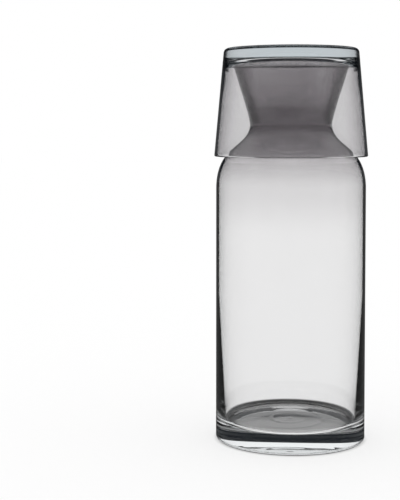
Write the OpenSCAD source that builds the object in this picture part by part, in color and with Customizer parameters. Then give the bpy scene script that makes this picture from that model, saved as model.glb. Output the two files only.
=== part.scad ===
// Bedside carafe with a tumbler turned over its neck. Two loose pieces of blown glass, in millimetres.
// The origin is the centre of the foot on the table, and +Z is up along the axis of both pieces.

/* [Carafe body] */
// Outside diameter of the body
body_d = 95; // [80:1:110]
// Height from the table to where the shoulder starts
body_h = 160; // [120:1:200]
// Glass thickness of the upper body
wall_t = 1.8; // [1.4:0.1:3]
// Glass thickness of the wall where it meets the rounded corner of the inner floor
heel_t = 5.5; // [3:0.1:8]
// Height above the inner floor at which the heel's extra thickness has faded out
heel_h = 82; // [60:1:100]
// Lean of the inner wall where it meets that corner, from upright
heel_lean = 3; // [0:0.5:8]
// Glass thickness at the middle of the foot
floor_t = 11.6; // [8:0.2:16]
// Radius of the corner between the inner floor and the wall
floor_round = 4.6; // [3:0.1:10]
// Radius of the foot's outer edge
foot_edge_r = 2.2; // [1:0.1:4]
// Width of the flat ring that the carafe stands on
foot_ring_w = 5; // [3:0.5:10]
// Depth of the hollow under the foot
foot_hollow = 2.2; // [0.5:0.1:4]

/* [Neck] */
// Height of the shoulder, from the straight wall up to the waist
shoulder_h = 41; // [32:1:52]
// Outside diameter of the waist
waist_d = 52.2; // [40:0.2:64]
// Outside diameter of the lip
lip_d = 74.8; // [66:0.2:84]
// Lean of the flare at the lip, from upright
lip_lean = 18; // [6:1:30]
// Glass thickness of the neck and the lip
neck_t = 1.4; // [1:0.1:2.6]

/* [Tumbler] */
// Depth inside, from the rim to the floor
tumbler_depth = 61; // [46:1:76]
// Glass thickness of the tumbler's base
tumbler_base_t = 7.4; // [5:0.2:12]
// Glass thickness of the wall and the drinking rim
tumbler_wall_t = 1.7; // [1.4:0.1:3]
// Glass thickness of the wall next to the base
tumbler_heel_t = 2.1; // [1.7:0.1:5]
// Distance from the inner floor at which that extra thickness has faded out
tumbler_heel_h = 26; // [18:1:40]
// Radius of the corner between the inner floor and the wall
tumbler_round = 7; // [5:0.1:10]
// Radius of the outer edge of the base
tumbler_edge_r = 3; // [1:0.1:5]
// Depth of the hollow in the base
tumbler_hollow = 0.7; // [0.3:0.1:2]
// Width of the flat ring around that hollow
tumbler_ring_w = 5; // [3:0.5:10]

/* [Fit] */
// Gap between the lip and the rounded corner of the tumbler that sits on it
seat_gap = 0.3; // [0.1:0.05:0.6]
// Room between the edge of the lip and the side of the tumbler's round corner
lip_room = 4.4; // [3:0.1:8]
// How far the tumbler's rim stands out past the body
rim_overhang = 1.2; // [0:0.1:4]
// Height of the tumbler's rim above the foot of the shoulder
rim_rise = 20.4; // [16:0.2:28]

/* [Hidden] */
$fn = 96;

// Colours of the smoked glass, as seen through both walls
carafe_smoke = [0.72, 0.71, 0.72, 0.55];
tumbler_smoke = [0.50, 0.48, 0.49, 0.60];

// Number of straight steps in a rounded corner and in a long curve
corner_steps = 10;
curve_steps = 28;
// Handle lengths of the long curves, as shares of each curve's own height
shoulder_handles = [0.70, 0.37];
flare_handles = [0.09, 0.3];
heel_handles = [0.15, 0.4];
tumbler_heel_handles = [0.42, 0.42];

// Radii and heights that follow from the sizes above
body_r = body_d / 2;
waist_z = body_h + shoulder_h;
lip_tube_r = neck_t / 2;
lip_r = lip_d / 2 - lip_tube_r;
rim_z = body_h + rim_rise;
rim_r = body_r + rim_overhang;
tumbler_floor_z = rim_z + tumbler_depth;
tumbler_top_z = tumbler_floor_z + tumbler_base_t;

// The tumbler's wall leans in from the rim to the height of the round corner's centre
round_z = tumbler_floor_z - tumbler_round;
corner_r = lip_d / 2 + lip_room;
wall_lean = atan((rim_r - corner_r - tumbler_heel_t) / (round_z - rim_z));
round_r = corner_r - tumbler_round / cos(wall_lean);
function wall_r(z) = rim_r - (z - rim_z) * tan(wall_lean);

// The round corner sits on the lip: the lip's small circle lies inside the corner's large one
seat_reach = tumbler_round - lip_tube_r - seat_gap;
seat_side = max(0, lip_r - round_r);
lip_z = round_z + sqrt(seat_reach * seat_reach - seat_side * seat_side);

// Points of an arc of an ellipse about [r, z], from one angle to another
function arc(centre, half_r, half_z, from, to, steps = corner_steps) =
    [for (i = [0 : steps])
        let (angle = from + (to - from) * i / steps)
        [centre.x + half_r * cos(angle), centre.y + half_z * sin(angle)]];

// A point of a cubic curve with four control points, and the unit direction there
function curve_point(p, u) =
    pow(1 - u, 3) * p[0] + 3 * u * pow(1 - u, 2) * p[1] + 3 * u * u * (1 - u) * p[2] + pow(u, 3) * p[3];
function curve_direction(p, u) =
    let (d = pow(1 - u, 2) * (p[1] - p[0]) + 2 * u * (1 - u) * (p[2] - p[1]) + u * u * (p[3] - p[2]))
    d / norm(d);

// Points of a cubic curve moved inwards by a glass thickness that changes evenly along it
function curve(p, t0 = 0, t1 = 0) =
    [for (i = [0 : curve_steps])
        let (u = i / curve_steps, d = curve_direction(p, u))
        curve_point(p, u) + (t0 + (t1 - t0) * u) * [-d.y, d.x]];

// Control points of a curve that leaves the first point and reaches the second at the given leans from upright
function control_points(start, end, handles, start_lean = 0, end_lean = 0) =
    let (h = abs(end.y - start.y), way = sign(end.y - start.y))
    [start,
     start + handles[0] * h * way * [sin(start_lean), cos(start_lean)],
     end - handles[1] * h * way * [sin(end_lean), cos(end_lean)],
     end];

function reversed(points) = [for (i = [len(points) - 1 : -1 : 0]) points[i]];

// A shallow round hollow in a flat face at height z, from the axis to radius r
function hollow(r, depth, z, way) =
    let (dome_r = (r * r + depth * depth) / (2 * depth), half_angle = asin(r / dome_r))
    [for (i = [0 : corner_steps])
        let (angle = half_angle * i / corner_steps)
        [dome_r * sin(angle), z + way * (depth - dome_r * (1 - cos(angle)))]];

// The carafe's shoulder, an S from the straight wall to the waist, and its flare from the waist to the lip
shoulder = control_points([body_r, body_h], [waist_d / 2, waist_z], shoulder_handles);
flare = control_points(
    [waist_d / 2, waist_z],
    [lip_r + lip_tube_r * cos(lip_lean), lip_z - lip_tube_r * sin(lip_lean)],
    flare_handles, 0, lip_lean);

// The carafe's inner wall, which thickens downwards to the heel, and the tumbler's, which thickens to its base
heel_r = body_r - heel_t;
floor_r = heel_r - floor_round * cos(heel_lean);
heel = control_points(
    [body_r - wall_t, floor_t + heel_h],
    [heel_r, floor_t + floor_round * (1 - sin(heel_lean))],
    heel_handles, 0, heel_lean);
thin_z = tumbler_floor_z - tumbler_heel_h;
tumbler_heel = control_points(
    [wall_r(thin_z) - tumbler_wall_t, thin_z],
    [round_r + tumbler_round * cos(wall_lean), round_z + tumbler_round * sin(wall_lean)],
    tumbler_heel_handles, -wall_lean, -wall_lean);

// One blown piece: heavy foot with a hollow under it, straight body, drawn-in neck and flared lip
module carafe() {
    outside = concat(
        hollow(body_r - foot_edge_r - foot_ring_w, foot_hollow, 0, 1),
        arc([body_r - foot_edge_r, foot_edge_r], foot_edge_r, foot_edge_r, -90, 0),
        curve(shoulder),
        curve(flare));
    lip = arc([lip_r, lip_z], lip_tube_r, lip_tube_r, -lip_lean, 180 - lip_lean);
    inside = concat(
        reversed(curve(flare, neck_t, neck_t)),
        reversed(curve(shoulder, wall_t, neck_t)),
        curve(heel),
        arc([floor_r, floor_t + floor_round], floor_round, floor_round, -heel_lean, -90),
        [[0, floor_t]]);
    color(carafe_smoke)
        rotate_extrude()
            polygon(concat(outside, lip, inside));
}

// One pressed piece, upside down: thick base on top, leaning wall, and the drinking rim at the bottom
module tumbler() {
    rim_edge_r = tumbler_wall_t / 2;
    rim = arc([rim_r - rim_edge_r, rim_z + rim_edge_r], rim_edge_r, rim_edge_r, -180 + wall_lean, wall_lean);
    edge_r = wall_r(tumbler_top_z) - tumbler_edge_r * (1 - sin(wall_lean)) / cos(wall_lean);
    edge = arc([edge_r, tumbler_top_z - tumbler_edge_r], tumbler_edge_r, tumbler_edge_r, wall_lean, 90);
    base = reversed(hollow(edge_r - tumbler_ring_w, tumbler_hollow, tumbler_top_z, -1));
    inside = concat(
        arc([round_r, round_z], tumbler_round, tumbler_round, 90, wall_lean),
        reversed(curve(tumbler_heel)));
    color(tumbler_smoke)
        rotate_extrude()
            polygon(concat(rim, edge, base, [[0, tumbler_floor_z]], inside));
}

carafe();
tumbler();
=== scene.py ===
import math

import bpy
import numpy as np
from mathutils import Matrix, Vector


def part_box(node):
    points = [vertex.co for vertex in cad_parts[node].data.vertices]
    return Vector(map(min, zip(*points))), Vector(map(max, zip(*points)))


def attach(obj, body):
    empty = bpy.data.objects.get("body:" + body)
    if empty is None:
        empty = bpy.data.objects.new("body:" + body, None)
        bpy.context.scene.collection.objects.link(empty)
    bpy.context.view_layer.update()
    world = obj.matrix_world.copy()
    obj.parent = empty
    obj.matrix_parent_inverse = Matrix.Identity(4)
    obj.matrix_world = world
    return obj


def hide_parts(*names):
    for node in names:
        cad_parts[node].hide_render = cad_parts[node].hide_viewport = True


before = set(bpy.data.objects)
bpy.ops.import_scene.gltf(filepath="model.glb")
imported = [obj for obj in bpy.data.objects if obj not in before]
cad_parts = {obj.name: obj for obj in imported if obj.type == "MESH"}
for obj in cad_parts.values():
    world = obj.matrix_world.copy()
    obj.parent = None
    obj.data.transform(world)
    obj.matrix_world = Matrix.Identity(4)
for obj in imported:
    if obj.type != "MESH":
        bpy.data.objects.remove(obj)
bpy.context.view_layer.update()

# Carafe: one vessel of clear glass, blown into a turning mould, so it is round and seamless. Its foot is a
# thick pool of glass with a hollow under it, the wall thins upwards, and the lip is melted round in the
# flame. A grey smoke colour is fired onto the neck and fades out down the body.
MM = 0.001
body_r = 47.5 * MM
body_h = 160 * MM
wall_t = 1.8 * MM
heel_t = 5.5 * MM
heel_h = 82 * MM
heel_lean = math.radians(3)
floor_t = 11.6 * MM
floor_round = 4.6 * MM
foot_edge_r = 2.2 * MM
foot_ring_w = 5 * MM
foot_hollow = 2.2 * MM
waist_r = 26.1 * MM
waist_z = 201 * MM
neck_t = 1.4 * MM
lip_outer_r = 37.4 * MM
lip_lean = math.radians(18)
carafe_top_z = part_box("carafe")[1].z
lip_tube_r = neck_t / 2
lip_r = lip_outer_r - lip_tube_r
lip_z = carafe_top_z - lip_tube_r
heel_r = body_r - heel_t
floor_r = heel_r - floor_round * math.cos(heel_lean)
hollow_rim = body_r - foot_edge_r - foot_ring_w
# Handle lengths of the long curves, as shares of each curve's height
shoulder_handles = (0.70, 0.37)
flare_handles = (0.09, 0.3)
heel_handles = (0.15, 0.4)
# Angles around the axis at which each turned piece has a point
turns = 256
around = np.linspace(0, 2 * math.pi, turns, endpoint=False)
scene = bpy.context.scene


def arc(centre, radius, start, stop, steps):
    """Points of a circle about centre in the (radius, height) plane, between two angles in degrees."""
    angle = np.radians(np.linspace(start, stop, steps))
    return np.column_stack([centre[0] + radius * np.cos(angle), centre[1] + radius * np.sin(angle)])


def bend(start, end, handles, steps, start_lean=0.0, end_lean=0.0, glass_t=(0.0, 0.0)):
    """Points of a cubic curve from start to end, which leans outwards there by start_lean and end_lean.
    Each handle is a share of the curve's height. The curve is then moved towards the inside by a glass
    thickness that changes evenly from the first value of glass_t to the second."""
    start, end = np.array(start), np.array(end)
    rise = end[1] - start[1]
    control = np.array([
        start,
        start + handles[0] * rise * np.array([math.sin(start_lean), math.cos(start_lean)]),
        end - handles[1] * rise * np.array([math.sin(end_lean), math.cos(end_lean)]),
        end])
    u = np.linspace(0, 1, steps)[:, None]
    point = ((1 - u) ** 3 * control[0] + 3 * u * (1 - u) ** 2 * control[1]
             + 3 * u ** 2 * (1 - u) * control[2] + u ** 3 * control[3])
    way = ((1 - u) ** 2 * (control[1] - control[0]) + 2 * u * (1 - u) * (control[2] - control[1])
           + u ** 2 * (control[3] - control[2]))
    way /= np.linalg.norm(way, axis=1, keepdims=True)
    inwards = np.column_stack([-way[:, 1], way[:, 0]])
    return point + (glass_t[0] + (glass_t[1] - glass_t[0]) * u) * inwards


def straight(start, end, steps):
    """Even points on the straight line between start and end, without the two ends."""
    u = np.linspace(0, 1, steps + 2)[1:-1, None]
    return (1 - u) * np.array(start) + u * np.array(end)


def hollow(rim, depth, z, way, steps):
    """A shallow round hollow in a flat face at height z: a slice of a ball, from the axis to the radius
    rim. It goes up into the face where way is 1, and down into it where way is -1."""
    ball_r = (rim ** 2 + depth ** 2) / (2 * depth)
    r = np.linspace(0, rim, steps)
    return np.column_stack([r, z + way * (depth - ball_r + np.sqrt(ball_r ** 2 - r ** 2))])


def shoulder(glass_t=(0.0, 0.0)):
    """The S from the straight wall to the waist."""
    return bend((body_r, body_h), (waist_r, waist_z), shoulder_handles, steps=40, glass_t=glass_t)


def flare(glass_t=(0.0, 0.0)):
    """The funnel from the waist to the lip."""
    end = (lip_r + lip_tube_r * math.cos(lip_lean), lip_z - lip_tube_r * math.sin(lip_lean))
    return bend((waist_r, waist_z), end, flare_handles, steps=30, end_lean=lip_lean, glass_t=glass_t)


lip_deg = math.degrees(lip_lean)
heel_deg = math.degrees(heel_lean)
heel_top = (body_r - wall_t, floor_t + heel_h)
heel_foot = (heel_r, floor_t + floor_round * (1 - math.sin(heel_lean)))
carafe_profile = np.vstack([
    hollow(hollow_rim, foot_hollow, z=0, way=1, steps=36),
    straight((hollow_rim, 0), (body_r - foot_edge_r, 0), steps=4),
    arc((body_r - foot_edge_r, foot_edge_r), foot_edge_r, -90, 0, steps=10),
    straight((body_r, foot_edge_r), (body_r, body_h), steps=12),
    shoulder()[:-1],
    flare()[:-1],
    arc((lip_r, lip_z), lip_tube_r, -lip_deg, 180 - lip_deg, steps=14),
    flare((neck_t, neck_t))[-2::-1],
    shoulder((wall_t, neck_t))[-2::-1],
    straight((body_r - wall_t, body_h), heel_top, steps=6),
    bend(heel_top, heel_foot, heel_handles, steps=50, end_lean=heel_lean)[:-1],
    arc((floor_r, floor_t + floor_round), floor_round, -heel_deg, -90, steps=24),
    straight((floor_r, floor_t), (0, floor_t), steps=80),
    [(0, floor_t)]])


def floor_rings(profile):
    """Low rings that the cooling glass leaves on the inner floor, as a height for each profile point and
    angle. They are narrow crests along the radius, a little off the centre and a little oval, each of them
    highest on one side. They fade out at the floor's edge, and there is a small dimple in the middle."""
    crest_h = 0.12 * MM
    crest_gap = 11 * MM
    crest_sharpness = 3
    off_centre = 2.2 * MM
    off_angle = 0.6
    oval_share = 0.5
    oval_angle = 1.0
    even_share = 0.6
    side_share = 0.4
    side_angle = 0.8
    side_turn = 2.5 * crest_gap
    edge_fade = 4
    dimple_h = 0.02 * MM
    dimple_r = 2.5 * MM
    r, z = profile[:, :1], profile[:, 1:]
    out = np.clip(r / floor_r, 0, 1)
    middle = np.exp(-(r / dimple_r) ** 2)
    shift = off_centre * out * (np.cos(around - off_angle) + oval_share * np.cos(2 * around + oval_angle))
    crest = ((1 + np.cos(2 * math.pi * (r + shift) / crest_gap)) / 2) ** crest_sharpness
    one_side = (1 - middle) * np.cos(around + 2 * math.pi * r / side_turn + side_angle)
    rings = crest_h * (1 - out ** edge_fade) * crest * (even_share + side_share * one_side)
    on_floor = (np.abs(z - floor_t) < MM) & (r < floor_r + MM)
    return on_floor * (rings - dimple_h * middle)


def turned(name, profile, raised=0.0):
    """Turns a profile of (radius, height) points about the axis. Point (i, j) lies at radius r_i, angle
    a_j and height z_i + raised_ij. The profile starts and ends on the axis, where a ring is one point."""
    r, z = profile[:, :1], profile[:, 1:] + raised
    rings = np.stack([r * np.cos(around), r * np.sin(around), z * np.ones(turns)], axis=-1)
    points = np.vstack([rings[1:-1].reshape(-1, 3), rings[0, :1], rings[-1, :1]])
    count = len(r) - 2
    i, j = np.meshgrid(np.arange(count - 1), np.arange(turns), indexing="ij")
    after = (j + 1) % turns
    low, high = i * turns, (i + 1) * turns
    quads = np.stack([low + j, low + after, high + after, high + j], axis=-1)
    ring = np.arange(turns)
    next_ring = (ring + 1) % turns
    last = (count - 1) * turns
    first_fan = np.column_stack([np.full(turns, count * turns), next_ring, ring])
    last_fan = np.column_stack([np.full(turns, count * turns + 1), last + ring, last + next_ring])
    faces = quads.reshape(-1, 4).tolist() + first_fan.tolist() + last_fan.tolist()
    mesh = bpy.data.meshes.new(name)
    mesh.from_pydata(points.tolist(), [], faces)
    mesh.shade_smooth()
    piece = bpy.data.objects.new(name, mesh)
    scene.collection.objects.link(piece)
    return piece


def worked_out(tree, operation, first, second=0.0):
    """The output of a Math node on two inputs, each of which is a number or another node's output. COMPARE
    takes two values as the same when they lie within a half of each other."""
    same_within = 0.5
    node = tree.nodes.new("ShaderNodeMath")
    node.operation = operation
    node.inputs[2].default_value = same_within
    for socket, value in zip(node.inputs, (first, second)):
        if isinstance(value, (int, float)):
            socket.default_value = value
        else:
            tree.links.new(value, socket)
    return node.outputs["Value"]


def times(tree, first, *others):
    """The product of several values."""
    for other in others:
        first = worked_out(tree, "MULTIPLY", first, other)
    return first


def largest(tree, first, *others):
    """The largest of several values."""
    for other in others:
        first = worked_out(tree, "MAXIMUM", first, other)
    return first


def rest_of(tree, share):
    """What a share leaves of the whole."""
    return worked_out(tree, "SUBTRACT", 1.0, share)


def eased(tree, value, span, levels):
    """A smooth change from the first level to the second while value goes through the span."""
    node = tree.nodes.new("ShaderNodeMapRange")
    node.interpolation_type = "SMOOTHSTEP"
    node.inputs["From Min"].default_value = span[0]
    node.inputs["From Max"].default_value = span[1]
    node.inputs["To Min"].default_value = levels[0]
    node.inputs["To Max"].default_value = levels[1]
    tree.links.new(value, node.inputs["Value"])
    return node.outputs["Result"]


def slant_of_view(tree):
    """How slanted a face is to the ray that meets it: 0 where it is met head on, 1 where it is edge on."""
    glance = tree.nodes.new("ShaderNodeLayerWeight")
    glance.inputs["Blend"].default_value = 0.5
    return glance.outputs["Facing"]


def cloudy(tree, place, scale, detail):
    """The level, from 0 to 1, of a cloudy pattern with about scale clouds to the metre."""
    noise = tree.nodes.new("ShaderNodeTexNoise")
    noise.inputs["Scale"].default_value = scale
    noise.inputs["Detail"].default_value = detail
    tree.links.new(place, noise.inputs["Vector"])
    return noise.outputs["Fac"]


def smoked_glass(
        name, smoke, depth_colour, depth_density, slant_z, slant_smoke_and_shade, base_z, stand_z, stand_wear):
    """Clear glass whose colour follows the height. smoke is a list of (height, share of the light that one
    wall lets through), and it is set on the surface, where such a finish is fired on. Thick glass also
    takes on depth_colour, the faster the higher depth_density is. Above slant_z the colour darkens by up to
    slant_smoke_and_shade where it is seen at a slant, partly as the longer way through the smoke and partly
    as painted shade for the dark edges of glass. Above base_z the upright faces get painted shade at their
    edges, in place of the dark studio that glass mirrors there. At the height stand_z, on which the piece
    stands when it is in use, the glass is rubbed to the roughness stand_wear."""
    # The smoke holds back a little more of the green than of the red and blue
    smoke_hue = (1.0, 1.047, 1.01)
    slant_span = (0.3, 0.75)
    streak_span = (0.3, 0.7)
    streak_levels = (0.94, 1.06)
    upright_most = 0.3
    edge_span = (0.6, 0.74)
    edge_shade = 0.99
    haze_span = (0.5, 0.75)
    haze_most = 0.012
    rubbed_span = (0.1 * MM, 0.6 * MM)
    wave_h = 0.03 * MM
    drawn_up = (1.0, 1.0, 0.2)
    material = bpy.data.materials.new(name)
    material.use_nodes = True
    tree = material.node_tree
    nodes = tree.nodes
    links = tree.links
    shader = nodes["Principled BSDF"]
    shader.inputs["Transmission Weight"].default_value = 1.0
    shader.inputs["IOR"].default_value = 1.5
    place = nodes.new("ShaderNodeTexCoord").outputs["Object"]
    split = nodes.new("ShaderNodeSeparateXYZ")
    links.new(place, split.inputs["Vector"])
    height = split.outputs["Z"]
    slant = slant_of_view(tree)

    # The smoke at each height, on a ramp between the lowest and the highest entry
    low_z, high_z = smoke[0][0], smoke[-1][0]
    span = nodes.new("ShaderNodeMapRange")
    span.inputs["From Min"].default_value = low_z
    span.inputs["From Max"].default_value = high_z
    links.new(height, span.inputs["Value"])
    ramp = nodes.new("ShaderNodeValToRGB")
    ramp.color_ramp.interpolation = "EASE"
    stops = ramp.color_ramp.elements
    while len(stops) < len(smoke):
        stops.new(0.5)
    for stop, (stop_z, share) in zip(stops, smoke):
        stop.position = (stop_z - low_z) / (high_z - low_z)
        stop.color = [share ** power for power in smoke_hue] + [1.0]
    links.new(span.outputs["Result"], ramp.inputs["Fac"])

    # Faint upright streaks in the smoke, and its darker look at a slant, which is partly the longer way
    # through the smoke and partly painted shade for the dark edges of glass
    upwards = nodes.new("ShaderNodeMapping")
    upwards.inputs["Scale"].default_value = drawn_up
    links.new(place, upwards.inputs["Vector"])
    streak_clouds = cloudy(tree, upwards.outputs["Vector"], scale=70.0, detail=3.0)
    streaks = eased(tree, streak_clouds, streak_span, streak_levels)
    in_smoke = worked_out(tree, "GREATER_THAN", height, slant_z)
    smoke_and_shade_at_slant = times(tree, in_smoke, eased(tree, slant, slant_span, (0.0, slant_smoke_and_shade)))
    streaked_and_shaded = nodes.new("ShaderNodeGamma")
    links.new(ramp.outputs["Color"], streaked_and_shaded.inputs["Color"])
    links.new(worked_out(tree, "ADD", smoke_and_shade_at_slant, streaks), streaked_and_shaded.inputs["Gamma"])

    # Painted shade at the edges of a thick base, on the faces that stand upright, in place of the dark
    # studio that the glass mirrors there
    normal = nodes.new("ShaderNodeSeparateXYZ")
    links.new(nodes.new("ShaderNodeNewGeometry").outputs["Normal"], normal.inputs["Vector"])
    upright = worked_out(tree, "LESS_THAN", worked_out(tree, "ABSOLUTE", normal.outputs["Z"]), upright_most)
    in_base = worked_out(tree, "GREATER_THAN", height, base_z)
    painted_edge_shade = times(tree, in_base, upright, eased(tree, slant, edge_span, (0.0, edge_shade)))
    smoke_and_edge_shade = nodes.new("ShaderNodeVectorMath")
    smoke_and_edge_shade.operation = "SCALE"
    links.new(streaked_and_shaded.outputs["Color"], smoke_and_edge_shade.inputs[0])
    links.new(rest_of(tree, painted_edge_shade), smoke_and_edge_shade.inputs["Scale"])
    links.new(smoke_and_edge_shade.outputs["Vector"], shader.inputs["Base Color"])

    # Hazy patches from handling, the rubbed ring, and the slow waves of blown glass
    haze = eased(tree, cloudy(tree, place, scale=45.0, detail=6.0), haze_span, (0.0, haze_most))
    from_stand = worked_out(tree, "ABSOLUTE", worked_out(tree, "SUBTRACT", height, stand_z))
    rubbed = eased(tree, from_stand, rubbed_span, (stand_wear, 0.0))
    links.new(largest(tree, haze, rubbed), shader.inputs["Roughness"])
    wavy = nodes.new("ShaderNodeBump")
    wavy.inputs["Distance"].default_value = wave_h
    links.new(cloudy(tree, upwards.outputs["Vector"], scale=28.0, detail=1.0), wavy.inputs["Height"])
    links.new(wavy.outputs["Normal"], shader.inputs["Normal"])

    # The colour of thick glass
    inside = nodes.new("ShaderNodeVolumeAbsorption")
    inside.inputs["Color"].default_value = depth_colour
    inside.inputs["Density"].default_value = depth_density
    links.new(inside.outputs["Volume"], nodes["Material Output"].inputs["Volume"])
    return material


carafe_smoke = [(height * MM, share) for height, share in [
    (0, 0.97), (128, 0.96), (160, 0.88), (176, 0.74), (187, 0.55), (199, 0.39), (208, 0.415), (215, 0.52),
    (222, 0.565), (236, 0.61)]]
carafe_glass = turned("carafe_glass", carafe_profile, floor_rings(carafe_profile))
carafe_glass.data.materials.append(smoked_glass(
    "carafe_glass", carafe_smoke, depth_colour=(0.8, 0.9, 0.94, 1), depth_density=2.5,
    slant_z=waist_z, slant_smoke_and_shade=2.5, base_z=carafe_top_z, stand_z=0.0, stand_wear=0.25))
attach(carafe_glass, "carafe")
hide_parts("carafe")

# Tumbler: one small drinking glass, pressed and melted smooth at its rim, with a thick base. It stands
# upside down over the neck as the lid, and its rounded inner corner sits on the carafe's lip. Its smoke
# colour is even, and the rim is left without smoke, a lighter band that is a painted highlight along it.
tumbler_low, tumbler_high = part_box("tumbler")
rim_r = 48.7 * MM
rim_z = tumbler_low.z
tumbler_wall_t = 1.7 * MM
tumbler_heel_t = 2.1 * MM
tumbler_heel_h = 26 * MM
tumbler_heel_handles = (0.42, 0.42)
tumbler_base_t = 7.4 * MM
tumbler_top_z = tumbler_high.z
tumbler_floor_z = tumbler_top_z - tumbler_base_t
tumbler_round = 7 * MM
tumbler_edge_r = 3 * MM
tumbler_hollow = 0.7 * MM
tumbler_ring_w = 5 * MM
lip_room = 4.4 * MM
corner_r = lip_outer_r + lip_room
round_z = tumbler_floor_z - tumbler_round
wall_lean = math.atan((rim_r - corner_r - tumbler_heel_t) / (round_z - rim_z))
wall_deg = math.degrees(wall_lean)
round_r = corner_r - tumbler_round / math.cos(wall_lean)


def wall_r(z):
    """Outside radius of the leaning wall at the height z."""
    return rim_r - (z - rim_z) * math.tan(wall_lean)


rim_edge_r = tumbler_wall_t / 2
rim = arc((rim_r - rim_edge_r, rim_z + rim_edge_r), rim_edge_r, -180 + wall_deg, wall_deg, steps=14)
edge_r = wall_r(tumbler_top_z) - tumbler_edge_r * (1 - math.sin(wall_lean)) / math.cos(wall_lean)
edge = arc((edge_r, tumbler_top_z - tumbler_edge_r), tumbler_edge_r, wall_deg, 90, steps=14)
inner_round = arc((round_r, round_z), tumbler_round, 90, wall_deg, steps=24)
thin_z = tumbler_floor_z - tumbler_heel_h
thin_end = (wall_r(thin_z) - tumbler_wall_t, thin_z)
base_rim = edge_r - tumbler_ring_w
tumbler_profile = np.vstack([
    [(0, tumbler_floor_z)],
    straight((0, tumbler_floor_z), (round_r, tumbler_floor_z), steps=40),
    inner_round[:-1],
    bend(inner_round[-1], thin_end, tumbler_heel_handles, 40, -wall_lean, -wall_lean),
    straight(thin_end, rim[0], steps=12),
    rim,
    straight(rim[-1], edge[0], steps=20),
    edge,
    straight(edge[-1], (base_rim, tumbler_top_z), steps=4),
    hollow(base_rim, tumbler_hollow, tumbler_top_z, way=-1, steps=40)[::-1]])

# The rim without smoke is a painted highlight along the rounded rim
highlight_rim_h = 1 * MM
smoke_start_h = 2 * MM
tumbler_share = 0.815
tumbler_smoke = [
    (rim_z, 1.0), (rim_z + highlight_rim_h, 1.0), (rim_z + smoke_start_h, tumbler_share),
    (tumbler_top_z, tumbler_share)]
tumbler_glass = turned("tumbler_glass", tumbler_profile)
tumbler_glass.data.materials.append(smoked_glass(
    "tumbler_glass", tumbler_smoke, depth_colour=(0.3, 0.49, 0.56, 1), depth_density=6.0,
    slant_z=0.0, slant_smoke_and_shade=1.3, base_z=round_z, stand_z=tumbler_top_z, stand_wear=0.08))
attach(tumbler_glass, "tumbler")
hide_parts("tumbler")

# Floor: a plain white table top that runs on behind as the background and keeps the object's soft shadow.
# Seen straight or through glass it is white, with painted shadow in its colour and glow around the foot. In
# the mirror of the glass it is bright for some rays only, and the dark rest draws the edges of the glass.
floor_half = 6.0
floor_corners = floor_half * np.array([(-1, -1, 0), (1, -1, 0), (1, 1, 0), (-1, 1, 0)])
floor_mesh = bpy.data.meshes.new("floor")
floor_mesh.from_pydata(floor_corners.tolist(), [], [(0, 1, 2, 3)])
floor = bpy.data.objects.new("floor", floor_mesh)
scene.collection.objects.link(floor)


def at_most(tree, count, most):
    """1 where a whole number is no more than most, and 0 elsewhere."""
    return worked_out(tree, "LESS_THAN", count, most + 0.5)


def more_than(tree, count, least):
    """1 where a whole number is more than least, and 0 elsewhere."""
    return worked_out(tree, "GREATER_THAN", count, least + 0.5)


def exactly(tree, count, number):
    """1 where a whole number is this number, and 0 elsewhere."""
    return worked_out(tree, "COMPARE", count, number)


def through_whole_pieces(tree, faces):
    """1 for a ray that went through both walls of each piece on its way, at four faces a piece."""
    piece_faces = 4
    left_over = worked_out(tree, "MODULO", faces, piece_faces)
    return times(tree, at_most(tree, left_over, 0), more_than(tree, faces, 0))


def mirror_share(tree, faces, inner):
    """How much of its surroundings glass mirrors: the share inner where the ray came through glass, and a
    low share where the outside of the glass mirrors it."""
    outer = 0.1
    return worked_out(tree, "ADD", times(tree, at_most(tree, faces, 0), outer), inner)


floor_paint_and_light = bpy.data.materials.new("floor_paint_and_light")
floor_paint_and_light.use_nodes = True
tree = floor_paint_and_light.node_tree
tree.nodes.clear()
# What is known of a ray that reaches the floor: how often glass mirrored it, how many faces of glass it
# went through, how long its last stretch was, how far from the axis it lands, and at what slant
path = tree.nodes.new("ShaderNodeLightPath")
mirrors = path.outputs["Glossy Depth"]
faces = path.outputs["Transmission Depth"]
last_stretch = path.outputs["Ray Length"]
from_axis = tree.nodes.new("ShaderNodeVectorMath")
from_axis.operation = "LENGTH"
tree.links.new(tree.nodes.new("ShaderNodeTexCoord").outputs["Object"], from_axis.inputs[0])
reach = from_axis.outputs["Value"]
slant = slant_of_view(tree)
through = more_than(tree, faces, 0)
one_wall = at_most(tree, faces, 2)

# The floor that isn't mirrored, with painted shadow in its paint and its glow: dim under the foot, dark
# close behind the glass, and dark along the ring that the carafe stands on
foot_r = 44 * MM
open_r = 50 * MM
foot_level = 0.45
foot_shade_l = 80 * MM
wall_shade_l = 23 * MM
shade_span = (0.6, 1.0)
shade_dark = 0.95
ring_start = (33 * MM, 39 * MM)
ring_end = (44.5 * MM, 46 * MM)
ring_shade_level = 0.95
painted_share = 0.35
# Painted shadow: the table's paint and glow are dimmed under the foot, behind the glass and along the ring
lit = eased(tree, reach, (foot_r, open_r), (foot_level, 1.0))
past_foot = worked_out(tree, "GREATER_THAN", reach, foot_r)
shade_l = worked_out(tree, "ADD", times(tree, one_wall, foot_shade_l - wall_shade_l), wall_shade_l)
shade_part = worked_out(tree, "DIVIDE", last_stretch, shade_l)
shade = times(tree, eased(tree, shade_part, shade_span, (shade_dark, 0.0)), through, past_foot)
ring = times(
    tree, eased(tree, reach, ring_start, (0.0, ring_shade_level)), eased(tree, reach, ring_end, (1.0, 0.0)),
    rest_of(tree, one_wall))
table_light = times(tree, lit, rest_of(tree, shade), rest_of(tree, ring))
table_paint_and_shadow = tree.nodes.new("ShaderNodeBsdfDiffuse")
tree.links.new(times(tree, table_light, painted_share), table_paint_and_shadow.inputs["Color"])
table_glow = tree.nodes.new("ShaderNodeEmission")
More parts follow.
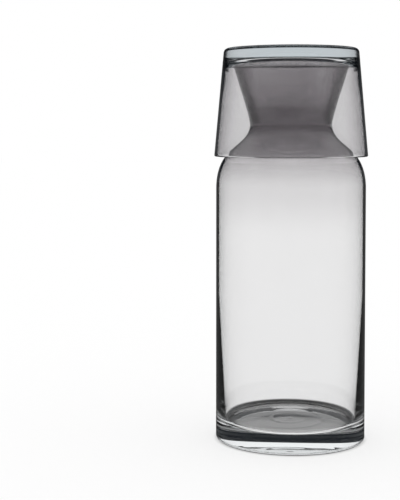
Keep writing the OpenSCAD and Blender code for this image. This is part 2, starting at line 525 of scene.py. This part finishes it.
tree.links.new(times(tree, table_light, 1.0 - painted_share), table_glow.inputs["Strength"])
table_top = tree.nodes.new("ShaderNodeAddShader")
tree.links.new(table_paint_and_shadow.outputs[0], table_top.inputs[0])
tree.links.new(table_glow.outputs[0], table_top.inputs[1])

# The floor that glass mirrors: bright further away at a low angle, close to the foot that mirrors it, and
# where it is met from steeply above
far_span = (80 * MM, 100 * MM)
low_slant = (0.48, 0.6)
low_levels = (0.04, 1.0)
third_time_level = 0.5
past_wall_level = 0.25
once_slant = (0.3, 0.4)
near_stretch = (30 * MM, 40 * MM)
near_span = (75 * MM, 85 * MM)
steep_slant = (0.14, 0.19)
steep_level = 0.75
far = times(
    tree, eased(tree, reach, far_span, (0.0, 1.0)), eased(tree, slant, low_slant, low_levels),
    mirror_share(tree, faces, through_whole_pieces(tree, faces)))
once = times(
    tree, exactly(tree, mirrors, 1), exactly(tree, faces, 2), eased(tree, slant, once_slant, (1.0, 0.0)))
third_time = times(tree, exactly(tree, mirrors, 3), third_time_level)
wall_level = worked_out(tree, "ADD", times(tree, one_wall, 1.0 - past_wall_level), past_wall_level)
repeated = times(tree, worked_out(tree, "ADD", exactly(tree, mirrors, 2), third_time), wall_level)
at_foot = times(
    tree, largest(tree, once, repeated), eased(tree, last_stretch, near_stretch, (1.0, 0.0)),
    eased(tree, reach, near_span, (1.0, 0.0)))
steep = times(tree, eased(tree, slant, steep_slant, (steep_level, 0.0)), lit)
mirrored_glow = tree.nodes.new("ShaderNodeEmission")
tree.links.new(largest(tree, far, at_foot, steep), mirrored_glow.inputs["Strength"])
floor_mix = tree.nodes.new("ShaderNodeMixShader")
tree.links.new(at_most(tree, mirrors, 0), floor_mix.inputs["Fac"])
tree.links.new(mirrored_glow.outputs[0], floor_mix.inputs[1])
tree.links.new(table_top.outputs[0], floor_mix.inputs[2])
floor_out = tree.nodes.new("ShaderNodeOutputMaterial")
tree.links.new(floor_mix.outputs[0], floor_out.inputs["Surface"])
floor.data.materials.append(floor_paint_and_light)

# Light: a white studio with soft light from all round, and no lamps. Through glass it is white up to some
# height. In the mirror of the glass it is a low white band all round, a soft light overhead and glints in
# the thick parts, and the rest is dark, which draws the dark edges of the glass.
world = bpy.data.worlds.new("studio")
world.use_nodes = True
scene.world = world
tree = world.node_tree
path = tree.nodes.new("ShaderNodeLightPath")
mirrors = path.outputs["Glossy Depth"]
faces = path.outputs["Transmission Depth"]
split = tree.nodes.new("ShaderNodeSeparateXYZ")
tree.links.new(tree.nodes.new("ShaderNodeTexCoord").outputs["Generated"], split.inputs["Vector"])
rise = split.outputs["Z"]
past_wall = more_than(tree, faces, 2)

# The low white band, and the soft light overhead, which starts and ends at two heights, ends higher for
# rays from behind a wall, and is dimmer for those that were mirrored again
band_span = (0.04, 0.12)
band_levels = (1.0, 0.02)
hood_start = (0.45, 0.55)
hood_level = 0.95
hood_end = (0.66, 0.76)
hood_end_level = 0.03
wall_shift = 0.09
again_dim = 0.6
most_mirrors = 4
low_band = times(
    tree, eased(tree, rise, band_span, band_levels),
    mirror_share(tree, faces, through_whole_pieces(tree, faces)))
hood_rise = worked_out(tree, "SUBTRACT", rise, times(tree, past_wall, wall_shift))
again = times(tree, past_wall, more_than(tree, mirrors, 1), again_dim)
overhead = times(
    tree, eased(tree, rise, hood_start, (0.0, hood_level)),
    eased(tree, hood_rise, hood_end, (1.0, hood_end_level)), rest_of(tree, again),
    mirror_share(tree, faces, more_than(tree, faces, 0)), at_most(tree, mirrors, most_mirrors))

# Glints in the foot, for rays that went through two faces and were mirrored three times or more, and the
# slate colour of its dark band
third_span = (0.2, 0.25)
third_level = 0.8
later_span = (0.34, 0.4)
later_level = 1.0
slate_level = 0.011
in_foot = exactly(tree, faces, 2)
third = times(tree, exactly(tree, mirrors, 3), eased(tree, rise, third_span, (0.0, third_level)))
later = times(tree, more_than(tree, mirrors, 2), eased(tree, rise, later_span, (0.0, later_level)))
foot_glint = times(tree, largest(tree, third, later), in_foot)
slate = times(tree, in_foot, slate_level)

# A grey glow at the slanting sides, for rays through the tumbler and the neck, and for those through one
# piece that were mirrored once, which are also bright higher up
glow_span = (0.11, 0.19)
glow_level = 0.4
both_end = (0.45, 0.5)
single_end = (0.24, 0.3)
bright_span = (0.24, 0.42)
bright_level = 0.8
both = more_than(tree, faces, 5)
single = times(tree, exactly(tree, mirrors, 1), worked_out(tree, "SUBTRACT", past_wall, both))
from_both = times(tree, both, eased(tree, rise, both_end, (1.0, 0.0)))
from_single = times(tree, single, eased(tree, rise, single_end, (1.0, 0.0)))
slanting = worked_out(tree, "ADD", from_both, from_single)
side_glow = times(tree, slanting, eased(tree, rise, glow_span, (0.0, glow_level)))
side_bright = times(tree, single, eased(tree, rise, bright_span, (0.0, bright_level)))
mirrored_light = largest(tree, low_band, overhead, foot_glint, slate, side_glow, side_bright)

# The studio that isn't mirrored: white to the eye and to the table, and white through glass up to some
# height, which is greater through the two walls of one piece
seen_span = (0.28, 0.42)
seen_levels = (1.0, 0.02)
two_walls_span = (0.6, 0.7)
two_walls = times(
    tree, more_than(tree, faces, 3), at_most(tree, faces, 6), eased(tree, rise, two_walls_span, (1.0, 0.0)))
seen_light = largest(
    tree, eased(tree, rise, seen_span, seen_levels), two_walls, at_most(tree, faces, 0),
    path.outputs["Diffuse Depth"])
sky = tree.nodes.new("ShaderNodeMix")
tree.links.new(at_most(tree, mirrors, 0), sky.inputs["Factor"])
tree.links.new(mirrored_light, sky.inputs["A"])
tree.links.new(seen_light, sky.inputs["B"])
studio = tree.nodes.new("ShaderNodeMix")
studio.data_type = "RGBA"
studio.inputs["A"].default_value = (0.004, 0.006, 0.009, 1)
studio.inputs["B"].default_value = (1, 1, 1, 1)
tree.links.new(sky.outputs["Result"], studio.inputs["Factor"])
tree.links.new(studio.outputs["Result"], tree.nodes["Background"].inputs["Color"])

# Camera: a long lens in front of the object, level with the carafe's waist and tilted a little down. It
# stands to the left of the axis, so the object is in the right half of the frame, and the shift lowers the
# frame to the foot.
tilt_down = math.radians(2.908)
camera_data = bpy.data.cameras.new("camera")
camera_data.lens = 89.17
camera_data.sensor_width = 36.0
camera_data.shift_y = -0.125
camera = bpy.data.objects.new("camera", camera_data)
camera.location = (-57.8 * MM, -787.7 * MM, 200.6 * MM)
camera.rotation_euler = (math.radians(90) - tilt_down, 0, 0)
scene.collection.objects.link(camera)
scene.camera = camera

# Picture settings: plain colours, and enough bounces for light that crosses many faces of glass
scene.view_settings.view_transform = "Standard"
scene.cycles.max_bounces = 32
scene.cycles.transmission_bounces = 32
scene.cycles.glossy_bounces = 16
